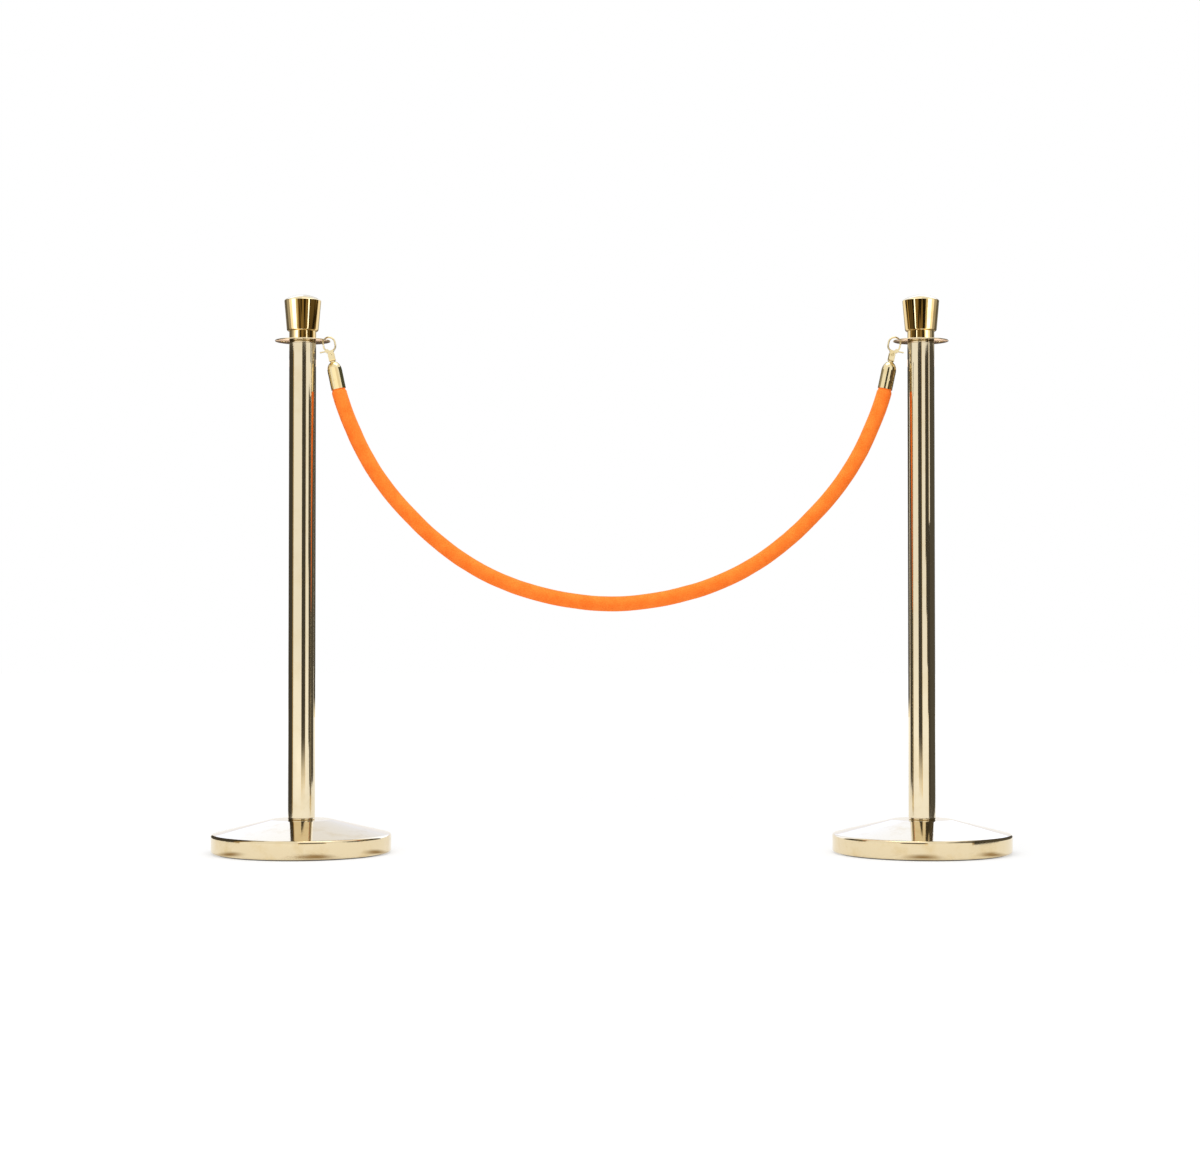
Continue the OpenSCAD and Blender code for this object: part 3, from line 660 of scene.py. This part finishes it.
# %% [markdown]
# ## Turned shells: base, crown and cap
# The base cover, the crown and the end caps are thin sheet, spun on a lathe. In a mirror finish every kink
# of a curve shows, so these three are drawn again as fine outlines: straight runs by extruding a vertex,
# round runs by turning a vertex about the centre of the round. The outline is spun about the upright axis,
# and a Solidify modifier gives the sheet its thickness inwards. Open rims are marked sharp first: without
# that the sheet's narrow edge would bend the shading of the whole wall beside it.

# %% Tools for turned shells
SPIN_STEPS = 180
ROUND_STEPS = 10
SHARP_FROM = math.radians(35)


def run_to(bm, vert, radius, height):
    """Extrude a vertex in a straight run to a radius and a height."""
    vert = bmesh.ops.extrude_vert_indiv(bm, verts=[vert])["verts"][0]
    vert.co = (radius, 0, height)
    return vert


def bend_about(bm, vert, radius, height, degrees, steps):
    """Turn a vertex about a point of the outline, which draws a round run."""
    turned = bmesh.ops.spin(bm, geom=[vert], cent=(radius, 0, height), axis=(0, -1, 0), dvec=(0, 0, 0),
                            angle=math.radians(degrees), steps=steps, use_merge=False)
    return [g for g in turned["geom_last"] if isinstance(g, bmesh.types.BMVert)][0]


def spin_shell(bm, name, place):
    """Spin the outline about Z, close its seam, place it and mark corners and open rims sharp."""
    bmesh.ops.spin(bm, geom=bm.verts[:] + bm.edges[:], cent=(0, 0, 0), axis=(0, 0, 1), dvec=(0, 0, 0),
                   angle=math.tau, steps=SPIN_STEPS, use_merge=True)
    bmesh.ops.remove_doubles(bm, verts=bm.verts, dist=1e-6)
    bmesh.ops.recalc_face_normals(bm, faces=bm.faces)
    bmesh.ops.transform(bm, matrix=place, verts=bm.verts)
    bm.normal_update()
    for face in bm.faces:
        face.smooth = True
    for edge in bm.edges:
        edge.smooth = edge.calc_face_angle(math.pi) < SHARP_FROM
    mesh = bpy.data.meshes.new(name)
    bm.to_mesh(mesh)
    bm.free()
    return mesh


def thicken(piece, wall):
    """Give a sheet piece its thickness inwards."""
    sheet = piece.modifiers.new("sheet", "SOLIDIFY")
    sheet.thickness = wall
    sheet.offset = -1
    sheet.use_even_offset = True


print("steps round a shell", SPIN_STEPS)

# %% [markdown]
# ## Base cover
# A low cone with a straight rim, rounded at its upper and lower edge, and a small flat on top where the
# post stands. The corners are first drawn sharp and then rounded by a vertex bevel, whose offset is the
# length of the tangent from the corner to the start of the round.

# %% Base cover
BASE_WALL = 1.2 * MM
BASE_OUTLINE = [(152, 2, 0), (160, 2, 4), (160, 34, 5), (53.5, 60, 20), (6.6, 60, 0)]


def round_corner(bm, vert, radius):
    """Round the corner of an outline with an arc."""
    arms = [(edge.other_vert(vert).co - vert.co) for edge in vert.link_edges]
    tangent = radius / math.tan(arms[0].angle(arms[1]) / 2)
    bmesh.ops.bevel(bm, geom=[vert], offset=tangent, offset_type="OFFSET", affect="VERTICES",
                    segments=ROUND_STEPS, profile=0.5, material=-1)


for side, sign in SIDES.items():
    bm = bmesh.new()
    radius, height, _ = BASE_OUTLINE[0]
    corners = [bm.verts.new((radius * MM, 0, height * MM))]
    for radius, height, _ in BASE_OUTLINE[1:]:
        corners.append(run_to(bm, corners[-1], radius * MM, height * MM))
    for vert, (_, _, round_mm) in zip(corners, BASE_OUTLINE):
        if round_mm:
            round_corner(bm, vert, round_mm * MM)
    mesh = spin_shell(bm, side + "_base_shell", Matrix.Translation((sign * POST_X, 0, 0)))
    mesh.materials.append(plated_sheet)
    base_shell = finished(side + "_base_shell", mesh, "posts", [side + "_base_cover"])
    thicken(base_shell, BASE_WALL)
    print(base_shell.name, "faces", len(mesh.polygons))

# %% [markdown]
# ## Crown
# The crown is a flared cup turned upside down: a neck as wide as the tube, a flat underside with a rounded
# edge, a wall that widens upwards, a small rounded shoulder and a shallow dome.

# %% Crown
CROWN_FOOT, CROWN_UNDERSIDE, CROWN_TOP = 918 * MM, 934 * MM, 1000 * MM
NECK_R, CROWN_FOOT_R, CROWN_HEAD_R = 24 * MM, 28.4 * MM, 32.8 * MM
UNDER_ROUND, SHOULDER_ROUND, DOME_ROUND = 4.2 * MM, 2.5 * MM, 58 * MM
CROWN_WALL = 1.4 * MM
dome_z = CROWN_TOP - DOME_ROUND
shoulder_x = CROWN_HEAD_R - SHOULDER_ROUND
shoulder_z = dome_z + math.sqrt((DOME_ROUND - SHOULDER_ROUND) ** 2 - shoulder_x ** 2)
dome_from = math.degrees(math.atan2(shoulder_z - dome_z, shoulder_x))
wall_height = shoulder_z - CROWN_UNDERSIDE - UNDER_ROUND
flare = math.degrees(math.atan((CROWN_HEAD_R - CROWN_FOOT_R) / wall_height))
flare_x = shoulder_x + SHOULDER_ROUND * math.cos(math.radians(flare))
flare_z = shoulder_z - SHOULDER_ROUND * math.sin(math.radians(flare))

for side, sign in SIDES.items():
    bm = bmesh.new()
    vert = bm.verts.new((NECK_R, 0, CROWN_FOOT))
    vert = run_to(bm, vert, NECK_R, CROWN_UNDERSIDE)
    vert = run_to(bm, vert, CROWN_FOOT_R - UNDER_ROUND, CROWN_UNDERSIDE)
    vert = bend_about(bm, vert, CROWN_FOOT_R - UNDER_ROUND, CROWN_UNDERSIDE + UNDER_ROUND, 90 - flare,
                      ROUND_STEPS)
    vert = run_to(bm, vert, flare_x, flare_z)
    vert = bend_about(bm, vert, shoulder_x, shoulder_z, flare + dome_from, ROUND_STEPS)
    vert = bend_about(bm, vert, 0, dome_z, 90 - dome_from, 2 * ROUND_STEPS)
    mesh = spin_shell(bm, side + "_crown_shell", Matrix.Translation((sign * POST_X, 0, 0)))
    mesh.materials.append(crown_brass)
    crown_shell = finished(side + "_crown_shell", mesh, "posts", [side + "_crown"])
    thicken(crown_shell, CROWN_WALL)
    print(crown_shell.name, "flare", round(flare, 2), "degrees")

# %% [markdown]
# ## End caps
# Each rope end is held in a deep-drawn brass cap with a domed end. The dome is a little taller than half a
# ball, so its round run is drawn as a circle and then stretched upwards. The cap leans with the hook.

# %% End caps
HOOK_X, HOOK_Z, HOOK_TILT = 507.887 * MM, 913.2 * MM, 12
CAP_R, CAP_MOUTH, CAP_TOP, CAP_DOME = 13.2 * MM, -84.4 * MM, -34.8 * MM, 16.8 * MM
STEM_SEAT_R, STEM_R = 4.5 * MM, 2.5 * MM
CAP_WALL = 1 * MM
dome_angle = math.degrees(math.acos(STEM_SEAT_R / CAP_R))
stretch = CAP_DOME / (CAP_R * math.sin(math.radians(dome_angle)))
shoulder = CAP_TOP - CAP_DOME

for side, sign in SIDES.items():
    bm = bmesh.new()
    vert = bm.verts.new((CAP_R, 0, CAP_MOUTH))
    vert = run_to(bm, vert, CAP_R, shoulder)
    vert = bend_about(bm, vert, 0, shoulder, dome_angle, 24)
    bmesh.ops.scale(bm, verts=[v for v in bm.verts if v.co.z > shoulder + 1e-7], vec=(1, 1, stretch),
                    space=Matrix.Translation((0, 0, -shoulder)))
    vert = run_to(bm, vert, STEM_R, CAP_TOP)
    lean = Matrix.Rotation(math.radians(sign * HOOK_TILT), 4, "Y")
    mesh = spin_shell(bm, side + "_cap_shell", Matrix.Translation((sign * HOOK_X, 0, HOOK_Z)) @ lean)
    mesh.materials.append(hook_brass)
    cap_shell = finished(side + "_cap_shell", mesh, side + "_rope_end", [side + "_end_cap"])
    thicken(cap_shell, CAP_WALL)
    print(cap_shell.name, "dome stretched by", round(stretch, 3))

# %% [markdown]
# ## Softened edges of the hooks
# The claw, its gate and the yoke are stamped and tumbled, so no edge on them is sharp. Their nodes already
# have the right shape: a copy is merged into a closed mesh, its flat faces are joined, and a Bevel modifier
# breaks the edges by a few tenths of a millimetre.

# %% Softened edges
BREAK_FROM = math.radians(30)


def softened(node_name, piece_name, body, width):
    """A copy of a brass node with its edges broken."""
    bm = bmesh.new()
    bm.from_mesh(nodes[node_name].data)
    bmesh.ops.remove_doubles(bm, verts=bm.verts, dist=1e-6)
    bmesh.ops.dissolve_limit(bm, angle_limit=math.radians(0.5), verts=bm.verts, edges=bm.edges)
    for face in bm.faces:
        face.smooth = True
    mesh = bpy.data.meshes.new(piece_name)
    bm.to_mesh(mesh)
    bm.free()
    if "custom_normal" in mesh.attributes:
        mesh.attributes.remove(mesh.attributes["custom_normal"])
    mesh.set_sharp_from_angle(angle=BREAK_FROM)
    mesh.materials.clear()
    mesh.materials.append(hook_brass)
    piece = finished(piece_name, mesh, body, [node_name])
    broken = piece.modifiers.new("broken_edges", "BEVEL")
    broken.width = width
    broken.segments = 3
    broken.limit_method = "ANGLE"
    broken.angle_limit = BREAK_FROM
    broken.harden_normals = True
    return piece


for side in SIDES:
    softened(side + "_claw", side + "_claw_forging", "rope", 0.35 * MM)
    softened(side + "_yoke", side + "_yoke_strip", "rope", 0.3 * MM)
    softened(side + "_gate", side + "_gate_lever", side + "_gate", 0.4 * MM)
